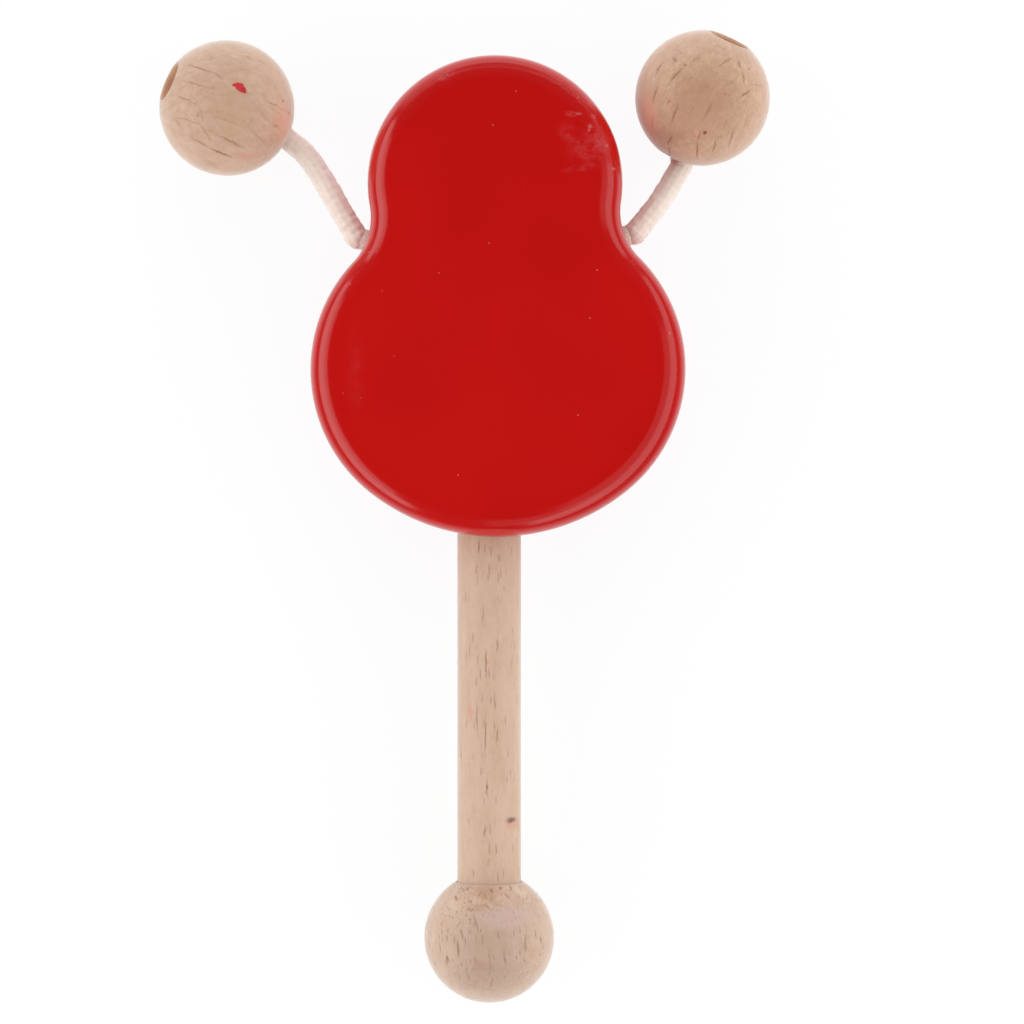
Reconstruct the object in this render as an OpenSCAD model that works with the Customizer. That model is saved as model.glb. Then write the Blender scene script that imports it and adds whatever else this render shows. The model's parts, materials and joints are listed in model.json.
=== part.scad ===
// Pellet drum rattle, lying on its back as it rests on a table.
// X = 0 is the axis of the handle, Z = 0 is the back face of the drum, and Y = 0 is the height
// at which the lower lobe of the drum is widest. The handle points along -Y and +Z is up.
// All lengths are in millimetres and all angles in degrees.

/* [Drum] */
// Width of the drum across its lower lobe
drum_w = 70; // [64:0.5:80]
// Thickness of the drum from its back face to its front face
drum_t = 25; // [20:0.5:32]
// Distance from the drum's axis to the centre of each side arc of the lower lobe
side_x = 5.7; // [4:0.1:8]
// Distance by which the foot of the drum lies lower than the radius of those arcs
foot_drop = 2; // [1:0.1:3]
// Radius of the upper lobe
top_r = 23.8; // [20:0.1:26]
// Distance between the middles of the two lobes
lobe_gap = 34.75; // [30:0.25:38]
// Radius of the hollow on each side of the neck
neck_r = 12; // [9:0.5:18]
// Radius of the rounding along both faces
edge_r = 5; // [2:0.5:7]
// Sideways distance from the handle's axis to the middle of the lower lobe
drum_shift = 1.7; // [0:0.1:3]
// Angle by which the drum leans over its handle
drum_lean = 0.9; // [0:0.1:2]

/* [Handle] */
// Diameter of the dowel
dowel_d = 12; // [9:0.5:15]
// Length of the dowel with both of its hidden ends
dowel_len = 100; // [80:1:130]
// Depth of the dowel's socket in the drum
socket_depth = 20; // [12:0.5:24]
// Diameter of the end ball
end_ball_d = 24.5; // [20:0.5:30]
// Depth of the dowel in the end ball
end_hold = 15; // [8:0.5:17]
// Gap round the dowel in its two sockets
glue_gap = 0.05; // [0.02:0.01:0.1]

/* [Cord] */
// Diameter of the cord
cord_d = 4.1; // [3:0.1:4.4]
// Diameter of the bore that carries the cord across the neck
cord_bore_d = 4.7; // [4.6:0.1:6]
// Height of that bore above the middle of the lower lobe
cord_rise = 24.75; // [22:0.25:27]

/* [Pellet balls] */
// Diameter of a pellet ball
ball_d = 25.4; // [22:0.2:27]
// Diameter of the bore through a ball
ball_bore_d = 5; // [4.6:0.1:6]
// Diameter of the wide outer end of the bore, which hides the knot
sink_d = 7.3; // [6.6:0.1:9]
// Depth of that wide end, from the outermost point of the ball
sink_depth = 9; // [6:0.5:11]

/* [Hidden] */
$fn = 64;

// Overrun of every cut
cut = 1;
// Gap that lets one stretch of cord turn on the next
turn_gap = 0.3;
// Gap round a knot in the wide end of its bore
knot_gap = 0.2;
// Chamfer on the ends of the dowel
dowel_chamfer = 0.8;
// Depth of the flare where the cord enters a ball
flare_depth = 2;
// Sides of a cord tube
cord_sides = 12;
// Steps along the drum's outline and round its edge
outline_step_angle = 5;
edge_step_angle = 18;

// Middle of the toy's thickness, which every axis of the flat-lying toy shares
mid_z = drum_t / 2;
cord_r = cord_d / 2;
ball_r = ball_d / 2;

// Arc centres of the drum's outline, all on the right-hand side of its axis
side_r = drum_w / 2 - side_x;
bottom_y = (pow(side_x, 2) - pow(foot_drop, 2)) / (2 * foot_drop);
bottom_r = bottom_y + side_r + foot_drop;
top_reach = top_r + neck_r;
side_reach = side_r + neck_r;
centre_span = norm([side_x, lobe_gap]);
centre_turn = atan2(-lobe_gap, side_x);
neck_turn = acos((pow(top_reach, 2) + pow(centre_span, 2) - pow(side_reach, 2))
                 / (2 * top_reach * centre_span));
neck_dir = centre_turn + neck_turn;
neck_x = top_reach * cos(neck_dir);
neck_y = lobe_gap + top_reach * sin(neck_dir);
side_dir = atan2(neck_y, neck_x - side_x);
bottom_dir = atan2(-bottom_y, side_x);
drum_low = bottom_y - bottom_r;

// Half width of the drum where the cord's bore crosses the neck
neck_drop = neck_y - cord_rise;
neck_half = neck_x - sqrt(pow(neck_r, 2) - pow(neck_drop, 2));

// Each free end of the cord bends on a hinge just outside its bore, and a little higher
bend_out = 2.2;
bend_up = 0.9;
left_hinge = drum_point(-neck_half - bend_out, cord_rise + bend_up);
right_hinge = drum_point(neck_half + bend_out, cord_rise + bend_up);

// Route of each free end, as steps from its hinge to the hinge at its ball
left_run = [
  [0, 0, 0], [-1, 1.6, -0.1], [-2.5, 4, -0.4], [-4.8, 8.1, -1.1],
  [-7.3, 12.3, -2.1], [-9.8, 15.8, -2.8], [-11.7, 17.6, -3.4]
];
right_run = [
  [0, 0, 0], [1.3, 1.6, -0.1], [3.4, 4.2, -0.5], [5.3, 6.9, -1.2],
  [6.9, 9.5, -2], [8, 11.5, -2.6]
];
left_route = [for (p = left_run) left_hinge + p];
right_route = [for (p = right_run) right_hinge + p];

// The way from a cord's end to the middle of its ball, and the way in which the wide end of the
// ball's bore points, turned and raised
left_ball_angle = 152.2;
left_bore_angle = 156.9;
left_rise_angle = 19;
right_ball_angle = 71.1;
right_bore_angle = 65.2;
right_rise_angle = 16;

// The handle hangs from the foot of its socket
dowel_top = drum_low + socket_depth;
dowel_low = dowel_top - dowel_len;
end_r = end_ball_d / 2;
end_mouth = sqrt(pow(end_r, 2) - pow(dowel_d / 2, 2));
end_y = dowel_low + end_hold - end_mouth;

// One arc of the outline as [x, y, outward angle], counter-clockwise or back, without its last point
function arc(c, r, from, to, hollow = false) =
  let (steps = ceil(abs(to - from) / outline_step_angle))
  [for (i = [0 : steps - 1])
    let (a = from + (to - from) * i / steps)
    [c[0] + r * cos(a), c[1] + r * sin(a), hollow ? a + 180 : a]];

drum_outline = concat(
  arc([0, lobe_gap], top_r, neck_dir, 180 - neck_dir),
  arc([-neck_x, neck_y], neck_r, -neck_dir, -side_dir, true),
  arc([-side_x, 0], side_r, 180 - side_dir, 180 - bottom_dir),
  arc([0, bottom_y], bottom_r, -180 - bottom_dir, bottom_dir),
  arc([side_x, 0], side_r, bottom_dir, side_dir),
  arc([neck_x, neck_y], neck_r, 180 + side_dir, 180 + neck_dir, true)
);

// Levels of the drum's rounded edge as [inset, height]
edge_turns = [-90 : edge_step_angle : 0];
edge_levels = concat(
  [for (a = edge_turns) [edge_r * (1 - cos(a)), edge_r * (1 + sin(a))]],
  [for (a = edge_turns) [edge_r * (1 - cos(a + 90)), drum_t - edge_r + edge_r * sin(a + 90)]]
);

// A closed skin over rings of equally many points, with a flat face at each end
module skin(rings) {
  n = len(rings[0]);
  last = len(rings) - 1;
  polyhedron(
    points = [for (ring = rings) each ring],
    faces = concat(
      [[for (i = [0 : n - 1]) i]],
      [[for (i = [n - 1 : -1 : 0]) last * n + i]],
      [for (k = [0 : last - 1], i = [0 : n - 1])
        [k * n + i, (k + 1) * n + i, (k + 1) * n + (i + 1) % n]],
      [for (k = [0 : last - 1], i = [0 : n - 1])
        [k * n + i, (k + 1) * n + (i + 1) % n, k * n + (i + 1) % n]]
    )
  );
}

function unit(v) = v / norm(v);

// Place of a point that is given on the drum's own axis, at the middle of its thickness
function drum_point(x, y) = [
  drum_shift + x * cos(drum_lean) - y * sin(drum_lean),
  x * sin(drum_lean) + y * cos(drum_lean),
  mid_z
];

// Middle of a ball that rests on the table with its surface just clear of the cord's end
function ball_centre(route, angle) =
  let (tip = route[len(route) - 1], reach = ball_r + cord_r + turn_gap)
  let (flat = sqrt(pow(reach, 2) - pow(tip[2] - ball_r, 2)))
  [tip[0] + flat * cos(angle), tip[1] + flat * sin(angle), ball_r];

// Direction of a route at its point i
function heading(p, i) =
  let (a = max(i - 1, 0), b = min(i + 1, len(p) - 1))
  unit(p[b] - p[a]);

// Ring of the cord round the point c, square to the direction d
function cord_ring(c, d, r) =
  let (side = unit(cross([0, 0, 1], d)), up = cross(d, side))
  [for (k = [0 : cord_sides - 1])
    let (a = 360 * k / cord_sides)
    c + r * (cos(a) * side + sin(a) * up)];

// Stretch of cord along a route, with a round end where dome is set
module cord_tube(p, dome = false) {
  last = len(p) - 1;
  tip_dir = heading(p, last);
  skin(concat(
    [for (i = [0 : last]) cord_ring(p[i], heading(p, i), cord_r)],
    dome
      ? [for (a = [30, 60, 80])
          cord_ring(p[last] + cord_r * sin(a) * tip_dir, tip_dir, cord_r * cos(a))]
      : []
  ));
}

// Right-hand half of a disc, to be turned into a ball
module half_disc(r) {
  intersection() {
    circle(r);
    translate([0, -r - cut])
      square([r + cut, 2 * (r + cut)]);
  }
}

// Places what is drawn on the drum's own axis at the drum's lean
module on_drum() {
  translate([drum_shift, 0, 0])
    rotate([0, 0, drum_lean])
      children();
}

// Places what is drawn round a ball's centre, with the wide end of its bore along +X
module on_ball(centre, turn, rise) {
  translate(centre)
    rotate([0, -rise, turn])
      children();
}

// Cylinder along X from one distance to another
module rod(d, from, to) {
  translate([from, 0, 0])
    rotate([0, 90, 0])
      cylinder(d = d, h = to - from);
}

// Solid drum of lacquered wood, with the blind socket of the handle and the cord's cross bore
module drum_body() {
  color("#c01614")
    difference() {
      on_drum()
        skin([for (level = edge_levels)
          [for (p = drum_outline)
            [p[0] - level[0] * cos(p[2]), p[1] - level[0] * sin(p[2]), level[1]]]]);
      translate([0, dowel_top, mid_z])
        rotate([90, 0, 0])
          cylinder(d = dowel_d + 2 * glue_gap, h = socket_depth + cut);
      on_drum()
        translate([0, cord_rise, mid_z])
          rod(cord_bore_d, -neck_half - edge_r, neck_half + edge_r);
    }
}

// Beech dowel with chamfered ends
module handle_dowel() {
  color("#d8b394")
    translate([0, dowel_low, mid_z])
      rotate([-90, 0, 0])
        rotate_extrude()
          polygon([
            [0, 0],
            [dowel_d / 2 - dowel_chamfer, 0],
            [dowel_d / 2, dowel_chamfer],
            [dowel_d / 2, dowel_len - dowel_chamfer],
            [dowel_d / 2 - dowel_chamfer, dowel_len],
            [0, dowel_len]
          ]);
}

// Ball that closes the handle, bored blind for the dowel
module handle_end_ball() {
  color("#cfa583")
    translate([0, end_y, mid_z])
      rotate([-90, 0, 0])
        rotate_extrude()
          difference() {
            half_disc(end_r);
            translate([0, end_mouth - end_hold])
              square([dowel_d / 2 + glue_gap, end_hold + end_r]);
          }
}

// Stretch of the cord inside the neck, from mouth to mouth of its bore
module drum_cord() {
  color("#e6d2ca")
    on_drum()
      translate([0, cord_rise, mid_z])
        rod(cord_d, -neck_half, neck_half);
}

// The round bend of the cord outside its bore
module cord_root(hinge) {
  color("#e6d2ca")
    translate(hinge)
      sphere(r = cord_r);
}

// Free stretch of the cord, from the bend at the drum to the round end at the ball
module free_cord(route) {
  start = route[0] + (cord_r + turn_gap) * unit(route[1] - route[0]);
  color("#e6d2ca")
    cord_tube(concat([start], [for (i = [2 : len(route) - 1]) route[i]]), dome = true);
}

// The rest of the cord, from its ball's mouth through the bore to the knot
module cord_tail() {
  color("#e6d2ca")
    rod(cord_d, -ball_r, ball_r - sink_depth);
}

// Knot drawn tight on the shoulder inside the ball, flat where the cord runs into it
module knot() {
  knot_r = sink_d / 2 - knot_gap;
  half_len = sqrt(pow(knot_r, 2) - pow(cord_r, 2));
  color("#e0cbc2")
    translate([ball_r - sink_depth + half_len, 0, 0])
      rotate([0, 90, 0])
        rotate_extrude()
          intersection() {
            half_disc(knot_r);
            translate([0, -half_len])
              square([knot_r + cut, 2 * half_len]);
          }
}

// Wooden ball with a stepped bore: wide for the knot, narrow for the cord, flared at its mouth
module pellet_ball() {
  bore_r = ball_bore_d / 2;
  sink_r = sink_d / 2;
  color("#cda684")
    rotate([0, 90, 0])
      rotate_extrude()
        difference() {
          half_disc(ball_r);
          polygon([
            [0, -ball_r - cut],
            [sink_r, -ball_r - cut],
            [sink_r, -ball_r],
            [bore_r, flare_depth - ball_r],
            [bore_r, ball_r - sink_depth],
            [sink_r, ball_r - sink_depth],
            [sink_r, ball_r + cut],
            [0, ball_r + cut]
          ]);
        }
}

module left_on_ball() {
  on_ball(ball_centre(left_route, left_ball_angle), left_bore_angle, left_rise_angle)
    children();
}

module right_on_ball() {
  on_ball(ball_centre(right_route, right_ball_angle), right_bore_angle, right_rise_angle)
    children();
}

module left_cord_root() { cord_root(left_hinge); }
module left_cord() { free_cord(left_route); }
module left_cord_tail() { left_on_ball() cord_tail(); }
module left_knot() { left_on_ball() knot(); }
module left_ball() { left_on_ball() pellet_ball(); }
module right_cord_root() { cord_root(right_hinge); }
module right_cord() { free_cord(right_route); }
module right_cord_tail() { right_on_ball() cord_tail(); }
module right_knot() { right_on_ball() knot(); }
module right_ball() { right_on_ball() pellet_ball(); }

drum_body();
handle_dowel();
handle_end_ball();
drum_cord();
left_cord_root();
left_cord();
left_cord_tail();
left_knot();
left_ball();
right_cord_root();
right_cord();
right_cord_tail();
right_knot();
right_ball();
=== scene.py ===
import json
import math
import random

import bmesh
import bpy
from mathutils import Matrix, Vector, noise


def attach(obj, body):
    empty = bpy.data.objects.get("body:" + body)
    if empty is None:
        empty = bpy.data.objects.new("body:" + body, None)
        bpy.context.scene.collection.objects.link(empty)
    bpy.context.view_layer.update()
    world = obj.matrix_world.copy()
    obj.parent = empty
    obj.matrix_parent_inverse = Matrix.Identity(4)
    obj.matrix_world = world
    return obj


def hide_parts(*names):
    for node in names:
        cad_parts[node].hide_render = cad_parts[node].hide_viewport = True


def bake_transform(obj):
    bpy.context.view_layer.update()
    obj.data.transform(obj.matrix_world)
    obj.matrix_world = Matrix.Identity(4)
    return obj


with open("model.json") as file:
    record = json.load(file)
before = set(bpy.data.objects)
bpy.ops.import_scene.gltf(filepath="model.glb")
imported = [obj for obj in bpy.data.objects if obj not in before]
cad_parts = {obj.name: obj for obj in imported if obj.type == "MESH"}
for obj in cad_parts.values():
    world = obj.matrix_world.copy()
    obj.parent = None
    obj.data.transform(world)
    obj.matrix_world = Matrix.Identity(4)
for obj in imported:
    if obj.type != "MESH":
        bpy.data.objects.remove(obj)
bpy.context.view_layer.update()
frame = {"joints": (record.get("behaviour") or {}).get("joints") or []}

joint_at = {joint["name"]: Vector(joint["pos_m"]) for joint in frame["joints"]}

# The photograph looks straight down on the toy, which lies flat on its back. The middle of the
# picture falls on the handle's side, a little way below the drum.
PICTURE_CENTRE = (0.00431, -0.02665)
PICTURE_SIZE = 1024
CAMERA_HEIGHT = 0.5865
VIEW_ANGLE = 19.14

bpy.ops.object.camera_add(location=(*PICTURE_CENTRE, CAMERA_HEIGHT), rotation=(0, 0, 0))
camera = bpy.context.object
camera.data.angle = math.radians(VIEW_ANGLE)
camera.data.clip_start = 0.01
bpy.context.scene.camera = camera
bpy.context.scene.view_settings.view_transform = "Standard"


def pixel_at(height):
    """The size of a pixel of the photograph on the toy, where the toy is that high."""
    return 2 * (CAMERA_HEIGHT - height) * math.tan(math.radians(VIEW_ANGLE / 2)) / PICTURE_SIZE


def seen_at(x, y, height):
    """The place that shows at pixel x, y of the photograph, where the toy is that high there."""
    right = (x - PICTURE_SIZE / 2) * pixel_at(height)
    down = (y - PICTURE_SIZE / 2) * pixel_at(height)
    return Vector((PICTURE_CENTRE[0] + right, PICTURE_CENTRE[1] - down, height))


class Shade:
    """A value in a material's nodes that can be written in sums."""

    def __init__(self, tree, socket=None):
        self.tree = tree
        self.socket = socket

    def node(self, kind, settings=(), inputs=(), result=0):
        """Any other node, with its settings, its inputs by name or place, and one output."""
        made = self.tree.nodes.new("ShaderNode" + kind)
        for name, value in dict(settings).items():
            setattr(made, name, value)
        open_inputs = [socket for socket in made.inputs if socket.enabled]
        for key, value in dict(inputs).items():
            socket = open_inputs[key] if isinstance(key, int) else made.inputs[key]
            if isinstance(value, Shade):
                self.tree.links.new(value.socket, socket)
            elif socket.type == "RGBA" and len(value) == 3:
                socket.default_value = (*value, 1)
            else:
                socket.default_value = value
        outputs = [socket for socket in made.outputs if socket.enabled]
        found = outputs[result] if isinstance(result, int) else made.outputs[result]
        return Shade(self.tree, found)

    def twin(self, output):
        """Another output of the node that this value comes from."""
        return Shade(self.tree, self.socket.node.outputs[output])

    def math(self, operation, *values):
        """One step of arithmetic with numbers and shade values."""
        return self.node("Math", {"operation": operation}, dict(enumerate(values)))

    def __add__(self, other):
        return self.math("ADD", self, other)

    def __radd__(self, other):
        return self.math("ADD", other, self)

    def __sub__(self, other):
        return self.math("SUBTRACT", self, other)

    def __rsub__(self, other):
        return self.math("SUBTRACT", other, self)

    def __mul__(self, other):
        return self.math("MULTIPLY", self, other)

    def __rmul__(self, other):
        return self.math("MULTIPLY", other, self)

    def __truediv__(self, other):
        return self.math("DIVIDE", self, other)

    def between(self, low, high):
        """0 below low and 1 above high, with a soft step from one to the other."""
        return self.node("MapRange", {"interpolation_type": "SMOOTHSTEP"},
                         {0: self, 1: low, 2: high})

    def over(self, under, colour):
        """The colour where this mask is 1, laid over what is under it where it is 0."""
        return self.node("Mix", {"data_type": "RGBA"}, {0: self, 1: under, 2: colour})


def new_material(name):
    """An empty material with its surface shader. The shader's sockets are set by finish_material."""
    material = bpy.data.materials.new(name)
    material.use_nodes = True
    return material, Shade(material.node_tree)


def finish_material(material, values):
    """Sets sockets of the material's surface shader to numbers, colours or shade values."""
    shader = material.node_tree.nodes["Principled BSDF"]
    for name, value in values.items():
        if isinstance(value, Shade):
            material.node_tree.links.new(value.socket, shader.inputs[name])
        elif shader.inputs[name].type == "RGBA":
            shader.inputs[name].default_value = (*value, 1)
        else:
            shader.inputs[name].default_value = value


# The ground is a bright white table that lights the toy from below. The lacquer mirrors only an
# oval of it. The room is dim, with soft boxes on both sides, which draw the long highlights on the
# rounded edge of the drum, and glows behind and in front. The fill lamps aren't mirrored.
FLOOR_SIZE = 6.0
FLOOR_DROP = 0.0001
FLOOR_GLOW = 0.9
FLOOR_WHITE = (0.95, 0.95, 0.95)
TABLE_EDGE = (0.10, 0.17)
TABLE_MIDDLE = (0, 0.27, 0)
TABLE_STRETCH = (1, 3, 1)
TABLE_DIMMING = 0.95
ROOM_FOR_DIFFUSE = 0.41
ROOM_FOR_GLOSSY = 0.03
BOX_DISTANCE = 0.5
# Each box has its direction from the toy in degrees, its lowest and highest edge, its width, its
# brightness where white is 1, and whether the lacquer mirrors it.
SOFT_BOXES = {
    "soft_box_left": (192, (0.075, 0.36), 1.20, 2.0, True),
    "soft_box_left_high": (192, (0.36, 0.60), 0.95, 1.2, True),
    "soft_box_right": (-20, (0.11, 0.47), 1.75, 1.3, True),
    "soft_box_right_high": (-24, (0.47, 1.40), 1.00, 0.45, True),
    "glow_behind": (90, (0.00, 0.30), 1.00, 1.4, True),
    "fill_behind": (90, (0.05, 0.90), 1.20, 0.8, False),
    "glow_front": (-74, (0.17, 0.52), 0.36, 0.35, True),
    "fill_front": (270, (0.02, 0.50), 1.20, 0.45, False),
    "fill_right": (-8, (0.02, 0.40), 1.20, 0.55, False),
}

bpy.ops.mesh.primitive_plane_add(size=FLOOR_SIZE, location=(0, 0, -FLOOR_DROP))
floor = bpy.context.object
floor.name = "floor"
floor_white, shade = new_material("floor_white")
finish_material(floor_white, {"Base Color": FLOOR_WHITE, "Roughness": 0.9})
spot = shade.node("TexCoord", {}, {}, "Object")
oval = shade.node("Mapping", {"vector_type": "TEXTURE"},
                  {"Vector": spot, "Location": TABLE_MIDDLE, "Scale": TABLE_STRETCH})
outwards = shade.node("VectorMath", {"operation": "LENGTH"}, {0: oval}, "Value")
glossy_ray = shade.node("LightPath", {}, {}, "Is Glossy Ray")
lit = 1 - outwards.between(*TABLE_EDGE) * glossy_ray * TABLE_DIMMING
glow = shade.node("Emission", {}, {"Color": (1, 1, 1), "Strength": lit})
plain = Shade(shade.tree, shade.tree.nodes["Principled BSDF"].outputs[0])
floor_mix = shade.node("MixShader", {}, {0: FLOOR_GLOW, 1: plain, 2: glow})
shade.tree.links.new(floor_mix.socket, shade.tree.nodes["Material Output"].inputs["Surface"])
floor.data.materials.append(floor_white)

room = bpy.data.worlds.new("room")
room.use_nodes = True
bpy.context.scene.world = room
sky = Shade(room.node_tree)
seen = sky.node("LightPath", {}, {}, "Is Camera Ray")
mirrored = seen.twin("Is Glossy Ray")
room_level = (seen * (1 - ROOM_FOR_DIFFUSE) + ROOM_FOR_DIFFUSE
              - mirrored * (ROOM_FOR_DIFFUSE - ROOM_FOR_GLOSSY))
room_shader = room.node_tree.nodes["Background"]
room_shader.inputs["Color"].default_value = (1, 1, 1, 1)
room.node_tree.links.new(room_level.socket, room_shader.inputs["Strength"])

for lamp_name, (turn, (low, high), width, level, in_lacquer) in SOFT_BOXES.items():
    away = Vector((math.cos(math.radians(turn)), math.sin(math.radians(turn)), 0))
    place = away * BOX_DISTANCE + Vector((0, 0, (low + high) / 2))
    bpy.ops.object.light_add(type="AREA", location=place)
    lamp = bpy.context.object
    lamp.name = lamp_name
    lamp.rotation_euler = (-away).to_track_quat("-Z", "Y").to_euler()
    lamp.data.shape = "RECTANGLE"
    lamp.data.size = width
    lamp.data.size_y = high - low
    lamp.data.energy = level * math.pi * width * (high - low)
    lamp.visible_glossy = in_lacquer


# Cord: one length of soft braided cotton, threaded through the neck of the drum, with each end
# drawn through a ball and knotted. Each end turns at a rounded bend just outside the drum.
CORD_RADIUS = 0.00205
CORD_RUNS = {
    "left": [(0, 0, 0), (-0.001, 0.0016, -0.0001), (-0.0025, 0.004, -0.0004),
             (-0.0048, 0.0081, -0.0011), (-0.0073, 0.0123, -0.0021),
             (-0.0098, 0.0158, -0.0028), (-0.0117, 0.0176, -0.0034)],
    "right": [(0, 0, 0), (0.0013, 0.0016, -0.0001), (0.0034, 0.0042, -0.0005),
              (0.0053, 0.0069, -0.0012), (0.0069, 0.0095, -0.002), (0.008, 0.0115, -0.0026)],
}
BALL_RADIUS = 0.0127
TURN_GAP = 0.0003
BALL_ANGLE = {"left": 152.2, "right": 71.1}
BORE_ANGLE = {"left": 156.9, "right": 65.2}
BORE_RISE = {"left": 19, "right": 16}
SINK_DEPTH = 0.009
CORD_HOLD = 0.0012
STRAIGHT_FROM = 0.003
CORD_PAST_TIP = {"left": [], "right": [(0.0010, 0.0019, -0.0005)]}
PATH_STEP = 0.00022
PATH_SHARE = 8
CORD_SIDES = 48
CAP_ANGLES = (15, 30, 45, 60, 75)
BRAID_COUNT = 5
BRAID_PITCH = 0.0030
BRAID_HEIGHT = 0.00005
LUMP_AROUND = 1.5
LUMP_ALONG = 900
LUMP_SHARE = 2.0
SWELLING = 0.00016
SWELLING_LENGTH = 0.0028
FUZZ_PER_METRE = 26000
FUZZ_LENGTH = (0.00020, 0.00055)
FUZZ_WIDTH = 0.00003
FUZZ_LIFT = 0.8
BEND_STUB = 0.1
BEND_FUZZ = 10
BLEND_HALF = 0.0035
FIBRE_SCALE = 2600.0
STAIN_SCALE = 260.0
COTTON_WHITE = (0.86, 0.75, 0.67)
COTTON_PINK = (0.86, 0.66, 0.62)
COTTON_SHADE = (0.60, 0.44, 0.38)


def hinge_at(side):
    """The point outside the drum on which one end of the cord turns."""
    return joint_at[side + "_cord_droop"]


def run_of(side):
    """The route of one free end of the cord, from its hinge to its ball."""
    return [hinge_at(side) + Vector(step) for step in CORD_RUNS[side]]


def ball_centre(side):
    """The middle of a ball, which rests on the table just clear of the end of its cord."""
    tip = run_of(side)[-1]
    reach = BALL_RADIUS + CORD_RADIUS + TURN_GAP
    flat = math.sqrt(reach ** 2 - (tip.z - BALL_RADIUS) ** 2)
    angle = math.radians(BALL_ANGLE[side])
    return Vector((tip.x + flat * math.cos(angle), tip.y + flat * math.sin(angle), BALL_RADIUS))


def bore_axis(side):
    """The direction of a ball's bore, towards its wide outer end."""
    turn = math.radians(BORE_ANGLE[side])
    rise = math.radians(BORE_RISE[side])
    return Vector((math.cos(rise) * math.cos(turn), math.cos(rise) * math.sin(turn),
                   math.sin(rise)))


def smooth_path(points, step):
    """Points a short step apart on a smooth curve through the given ones."""
    points = [Vector(p) for p in points]
    ends = [points[0]] + points[:-1], points[1:] + [points[-1]]
    headings = [(after - before).normalized() for before, after in zip(*ends)]
    path = []
    for i in range(len(points) - 1):
        span = (points[i + 1] - points[i]).length
        count = max(2, round(span / step))
        for k in range(count):
            t = k / count
            path.append(points[i] * (2 * t ** 3 - 3 * t ** 2 + 1)
                        + points[i + 1] * (3 * t ** 2 - 2 * t ** 3)
                        + headings[i] * span * (t ** 3 - 2 * t ** 2 + t)
                        + headings[i + 1] * span * (t ** 3 - t ** 2))
    return path + [points[-1]]


def tube(name, path, radius, sides, relief, closed=False, start_side=None, fuzz=0):
    """A mesh tube along a path with round ends. Its UV map is the way round and along, in mm."""
    count = len(path)
    headings = []
    for i in range(count):
        before = path[i - 1] if closed else path[max(i - 1, 0)]
        after = path[(i + 1) % count] if closed else path[min(i + 1, count - 1)]
        headings.append((after - before).normalized())
    across = start_side or headings[0].orthogonal().normalized()
    along = 0.0
    rings = []
    for i in range(count):
        across = (across - headings[i] * across.dot(headings[i])).normalized()
        if i:
            along += (path[i] - path[i - 1]).length
        rings.append((path[i], headings[i], across.copy(), along, 1.0))
    if not closed:
        caps = [math.radians(a) for a in CAP_ANGLES]
        place, heading, side, _, _ = rings[0]
        start = [(place - heading * radius * math.sin(a), heading, side, -radius * a,
                  math.cos(a)) for a in reversed(caps)]
        place, heading, side, reach, _ = rings[-1]
        end = [(place + heading * radius * math.sin(a), heading, side, reach + radius * a,
                math.cos(a)) for a in caps]
        rings = start + rings + end
    vertices = []
    fuzz_rows = []
    for place, heading, side, reach, share in rings:
        up = heading.cross(side)
        for k in range(sides):
            a = 2 * math.pi * k / sides
            r = radius * share + relief(a, reach) * share
            vertices.append(place + (side * math.cos(a) + up * math.sin(a)) * r)
    faces = []
    ring_count = len(rings)
    for i in range(ring_count if closed else ring_count - 1):
        for k in range(sides):
            n = (k + 1) % sides
            j = (i + 1) % ring_count
            faces.append((i * sides + k, i * sides + n, j * sides + n, j * sides + k))
    if not closed:
        faces.append(tuple(reversed(range(sides))))
        faces.append(tuple(range((ring_count - 1) * sides, ring_count * sides)))
    body_count = len(vertices)
    chance = random.Random(name)
    for _ in range(round(fuzz * along)):
        row = chance.randrange(2, ring_count - 2)
        column = chance.randrange(sides)
        base = vertices[row * sides + column]
        out = (base - rings[row][0]).normalized()
        lean = Vector([chance.uniform(-1, 1) for _ in range(3)])
        tip = base + (out * FUZZ_LIFT + lean).normalized() * chance.uniform(*FUZZ_LENGTH)
        width = lean.cross(out).normalized() * FUZZ_WIDTH
        at = len(vertices)
        vertices += [base - width - out * FUZZ_WIDTH, base + width - out * FUZZ_WIDTH, tip]
        faces.append((at, at + 1, at + 2))
        fuzz_rows.append((column, row))
    mesh = bpy.data.meshes.new(name)
    mesh.from_pydata([tuple(v) for v in vertices], [], faces)
    layer = mesh.uv_layers.new(name="around_along")
    for face in mesh.polygons:
        if face.vertices[0] >= body_count:
            column, row = fuzz_rows[(face.vertices[0] - body_count) // 3]
            for loop in face.loop_indices:
                layer.data[loop].uv = (column / sides, rings[row][3] * 1000)
            continue
        columns = [mesh.loops[loop].vertex_index % sides for loop in face.loop_indices]
        wraps = len(face.loop_indices) == 4 and max(columns) - min(columns) > 1
        for loop, column in zip(face.loop_indices, columns):
            row = mesh.loops[loop].vertex_index // sides
            turn = column + (sides if wraps and column == 0 else 0)
            layer.data[loop].uv = (turn / sides, rings[row][3] * 1000)
    piece = bpy.data.objects.new(name, mesh)
    bpy.context.scene.collection.objects.link(piece)
    for face in mesh.polygons:
        face.use_smooth = True
    return piece


def braid(around, along):
    """Height of the braid, whose strands cross in two slanting families."""
    lay = 2 * math.pi * along / BRAID_PITCH
    first = math.cos(BRAID_COUNT * around + lay)
    second = math.cos(BRAID_COUNT * around - lay)
    lump = noise.noise(Vector((math.cos(around) * LUMP_AROUND, math.sin(around) * LUMP_AROUND,
                               along * LUMP_ALONG)))
    swelling = SWELLING * max(0.0, 1 - abs(along) / SWELLING_LENGTH) ** 1.5
    return BRAID_HEIGHT * (first * second + LUMP_SHARE * lump) + swelling


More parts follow.
